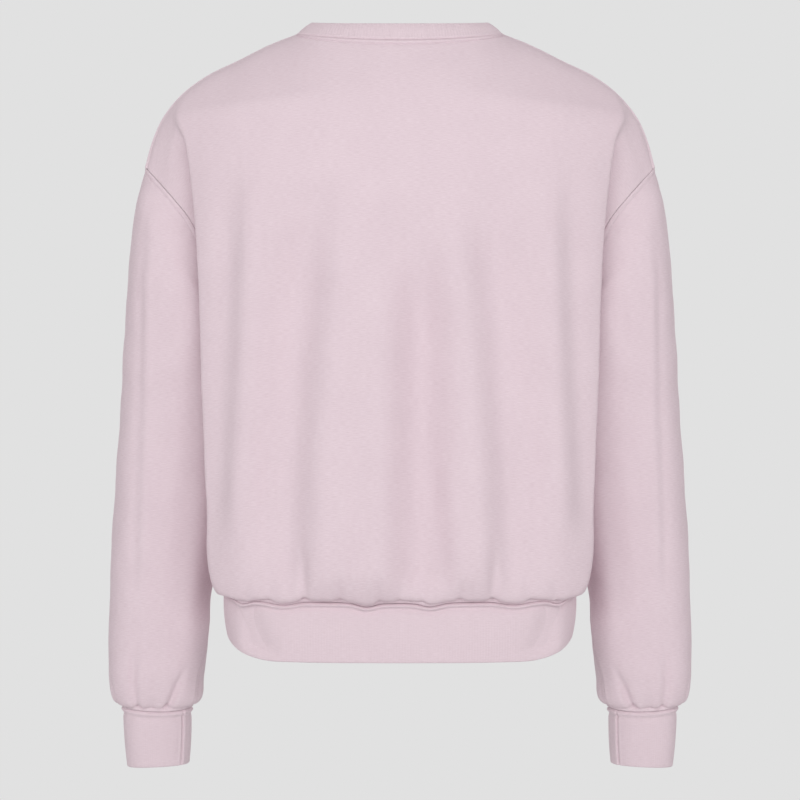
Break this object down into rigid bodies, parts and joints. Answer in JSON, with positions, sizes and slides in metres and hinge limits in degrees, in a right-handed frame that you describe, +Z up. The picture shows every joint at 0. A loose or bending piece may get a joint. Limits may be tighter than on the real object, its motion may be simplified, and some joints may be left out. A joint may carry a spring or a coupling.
{
  "type": "crewneck sweatshirt",
  "caption": "Plain dusty pink crewneck sweatshirt of brushed fleece, worn and hollow, with dropped shoulders, long sleeves, and ribbed neckband, cuffs and hem band.",
  "frame": {"origin": "midway between the two points where the shoulder seams meet the neckline, where the shoulders of the wearer carry the garment", "axes": "+Z up; the garment's front faces -Y and its back faces +Y; +X is the wearer's left"},
  "size_m": [0.61, 0.237, 0.7704],
  "materials": {
    "fleece": "matte brushed knit",
    "rib": "matte fine rib knit"
  },
  "bodies": {
    "root": {"back": "fleece", "front": "fleece", "sleeve_left": "fleece", "sleeve_right": "fleece", "neckband": "rib", "hem_band": "rib", "cuff_left": "rib", "cuff_right": "rib"}
  },
  "joints": []
}
